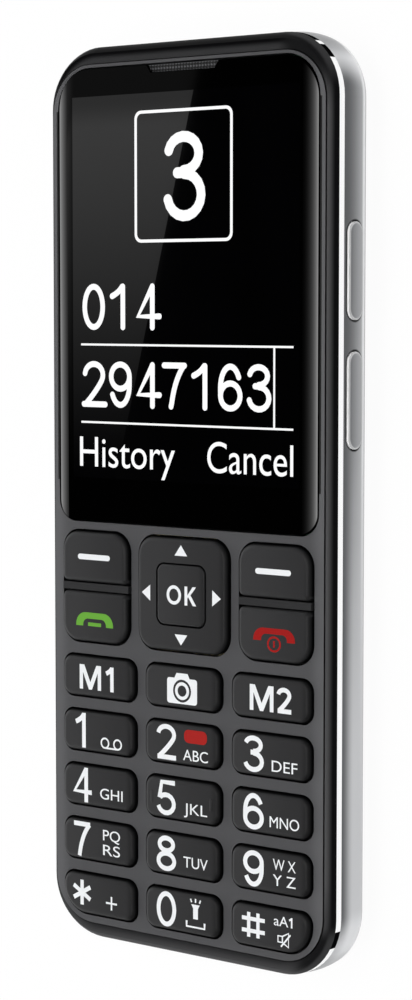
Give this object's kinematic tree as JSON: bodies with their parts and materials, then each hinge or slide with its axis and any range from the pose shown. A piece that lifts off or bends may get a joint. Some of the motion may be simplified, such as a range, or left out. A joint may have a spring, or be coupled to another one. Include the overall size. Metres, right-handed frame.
{
  "type": "feature phone",
  "caption": "Bar-shaped feature phone with a large display, big raised keypad, direction key, side volume keys, silver band and a sliding battery cover.",
  "frame": {"origin": "on the rear face, under the middle of the body, where the phone lies on its back", "axes": "+X across the face to the volume keys, +Y towards the earpiece, +Z out of the face"},
  "size_m": [0.0544, 0.1374, 0.0143],
  "materials": {
    "face_grey": "fine satin texture",
    "key_black": "satin, softly pillowed",
    "window_black": "glossy, printed black behind",
    "fine_mesh": "fine woven mesh",
    "bezel_black": "semi-gloss",
    "polished_trim": "polished",
    "silver_band": "satin silver lacquer",
    "silver_key": "satin silver lacquer, polished edge",
    "rear_black": "fine soft-touch grain",
    "white_plastic": "moulded",
    "key_rubber": "matt silicone",
    "dome_film": "film with metal domes",
    "board_green": "solder mask",
    "lcd_glass": "smooth",
    "black_foam": "closed-cell foam",
    "speaker_metal": "stamped",
    "speaker_body": "moulded",
    "lens_glass": "polished",
    "led_yellow": "phosphor",
    "clear_lens": "ribbed clear",
    "socket_steel": "stamped sheet",
    "battery_wrap": "printed-free sleeve over a can",
    "contact_brass": "plated",
    "screw_steel": "zinc plated"
  },
  "bodies": {
    "housing": {"face_plate": "face_grey", "display_window": "window_black", "earpiece_mesh": "fine_mesh", "front_bezel": "bezel_black", "trim_ring": "polished_trim", "side_frame": "silver_band", "rear_housing": "rear_black", "key_mat": "key_rubber", "dome_sheet": "dome_film", "main_board": "board_green", "lcd_module": "lcd_glass", "display_gasket": "black_foam", "earpiece_speaker": "speaker_metal", "earpiece_gasket": "black_foam", "loudspeaker": "speaker_body", "speaker_mesh": "fine_mesh", "microphone": "speaker_metal", "vibration_motor": "speaker_metal", "camera_module": "speaker_body", "camera_lens": "lens_glass", "torch_led": "led_yellow", "torch_lens": "clear_lens", "usb_socket": "socket_steel", "sim_holder": "socket_steel", "card_holder": "socket_steel", "battery": "battery_wrap", "battery_contacts": "contact_brass", "shield_can": "socket_steel", "side_switch_board": "board_green", "antenna": "contact_brass", "housing_screws": "screw_steel"},
    "key_soft_left": {"key_soft_left": "key_black"},
    "key_call": {"key_call": "key_black"},
    "key_ok": {"key_ok": "key_black"},
    "key_soft_right": {"key_soft_right": "key_black"},
    "key_end": {"key_end": "key_black"},
    "key_m1": {"key_m1": "key_black"},
    "key_camera": {"key_camera": "key_black"},
    "key_m2": {"key_m2": "key_black"},
    "key_1": {"key_1": "key_black"},
    "key_2": {"key_2": "key_black"},
    "key_3": {"key_3": "key_black"},
    "key_4": {"key_4": "key_black"},
    "key_5": {"key_5": "key_black"},
    "key_6": {"key_6": "key_black"},
    "key_7": {"key_7": "key_black"},
    "key_8": {"key_8": "key_black"},
    "key_9": {"key_9": "key_black"},
    "key_star": {"key_star": "key_black"},
    "key_0": {"key_0": "key_black"},
    "key_hash": {"key_hash": "key_black"},
    "nav_rocker": {"nav_rocker": "white_plastic"},
    "nav_ring": {"nav_ring": "key_black"},
    "volume_up_key": {"volume_up_key": "silver_key"},
    "volume_down_key": {"volume_down_key": "silver_key"},
    "battery_cover": {"battery_cover": "rear_black"}
  },
  "joints": [
    {"name": "key_soft_left_press", "type": "slide", "parent": "housing", "child": "key_soft_left", "axis": [0, 0, -1], "range_m": [0, 0.0003], "stiffness_N_per_m": 3000},
    {"name": "key_call_press", "type": "slide", "parent": "housing", "child": "key_call", "axis": [0, 0, -1], "range_m": [0, 0.0003], "stiffness_N_per_m": 3000},
    {"name": "key_ok_press", "type": "slide", "parent": "housing", "child": "key_ok", "axis": [0, 0, -1], "range_m": [0, 0.0003], "stiffness_N_per_m": 3000},
    {"name": "key_soft_right_press", "type": "slide", "parent": "housing", "child": "key_soft_right", "axis": [0, 0, -1], "range_m": [0, 0.0003], "stiffness_N_per_m": 3000},
    {"name": "key_end_press", "type": "slide", "parent": "housing", "child": "key_end", "axis": [0, 0, -1], "range_m": [0, 0.0003], "stiffness_N_per_m": 3000},
    {"name": "key_m1_press", "type": "slide", "parent": "housing", "child": "key_m1", "axis": [0, 0, -1], "range_m": [0, 0.0003], "stiffness_N_per_m": 3000},
    {"name": "key_camera_press", "type": "slide", "parent": "housing", "child": "key_camera", "axis": [0, 0, -1], "range_m": [0, 0.0003], "stiffness_N_per_m": 3000},
    {"name": "key_m2_press", "type": "slide", "parent": "housing", "child": "key_m2", "axis": [0, 0, -1], "range_m": [0, 0.0003], "stiffness_N_per_m": 3000},
    {"name": "key_1_press", "type": "slide", "parent": "housing", "child": "key_1", "axis": [0, 0, -1], "range_m": [0, 0.0003], "stiffness_N_per_m": 3000},
    {"name": "key_2_press", "type": "slide", "parent": "housing", "child": "key_2", "axis": [0, 0, -1], "range_m": [0, 0.0003], "stiffness_N_per_m": 3000},
    {"name": "key_3_press", "type": "slide", "parent": "housing", "child": "key_3", "axis": [0, 0, -1], "range_m": [0, 0.0003], "stiffness_N_per_m": 3000},
    {"name": "key_4_press", "type": "slide", "parent": "housing", "child": "key_4", "axis": [0, 0, -1], "range_m": [0, 0.0003], "stiffness_N_per_m": 3000},
    {"name": "key_5_press", "type": "slide", "parent": "housing", "child": "key_5", "axis": [0, 0, -1], "range_m": [0, 0.0003], "stiffness_N_per_m": 3000},
    {"name": "key_6_press", "type": "slide", "parent": "housing", "child": "key_6", "axis": [0, 0, -1], "range_m": [0, 0.0003], "stiffness_N_per_m": 3000},
    {"name": "key_7_press", "type": "slide", "parent": "housing", "child": "key_7", "axis": [0, 0, -1], "range_m": [0, 0.0003], "stiffness_N_per_m": 3000},
    {"name": "key_8_press", "type": "slide", "parent": "housing", "child": "key_8", "axis": [0, 0, -1], "range_m": [0, 0.0003], "stiffness_N_per_m": 3000},
    {"name": "key_9_press", "type": "slide", "parent": "housing", "child": "key_9", "axis": [0, 0, -1], "range_m": [0, 0.0003], "stiffness_N_per_m": 3000},
    {"name": "key_star_press", "type": "slide", "parent": "housing", "child": "key_star", "axis": [0, 0, -1], "range_m": [0, 0.0003], "stiffness_N_per_m": 3000},
    {"name": "key_0_press", "type": "slide", "parent": "housing", "child": "key_0", "axis": [0, 0, -1], "range_m": [0, 0.0003], "stiffness_N_per_m": 3000},
    {"name": "key_hash_press", "type": "slide", "parent": "housing", "child": "key_hash", "axis": [0, 0, -1], "range_m": [0, 0.0003], "stiffness_N_per_m": 3000},
    {"name": "nav_tilt_sideways", "type": "hinge", "parent": "housing", "child": "nav_rocker", "pos_m": [0, -0.01353, 0.011], "axis": [0, 1, 0], "range_deg": [-2, 2], "stiffness_Nm_per_rad": 0.27},
    {"name": "nav_tilt_lengthways", "type": "hinge", "parent": "nav_rocker", "child": "nav_ring", "pos_m": [0, -0.01353, 0.011], "axis": [1, 0, 0], "range_deg": [-2, 2], "stiffness_Nm_per_rad": 0.27},
    {"name": "volume_up_press", "type": "slide", "parent": "housing", "child": "volume_up_key", "axis": [-1, 0, 0], "range_m": [0, 0.00035], "stiffness_N_per_m": 3000},
    {"name": "volume_down_press", "type": "slide", "parent": "housing", "child": "volume_down_key", "axis": [-1, 0, 0], "range_m": [0, 0.00035], "stiffness_N_per_m": 3000},
    {"name": "cover_slide", "type": "slide", "parent": "housing", "child": "battery_cover", "axis": [0, -1, 0], "range_m": [0, 0.012]}
  ]
}
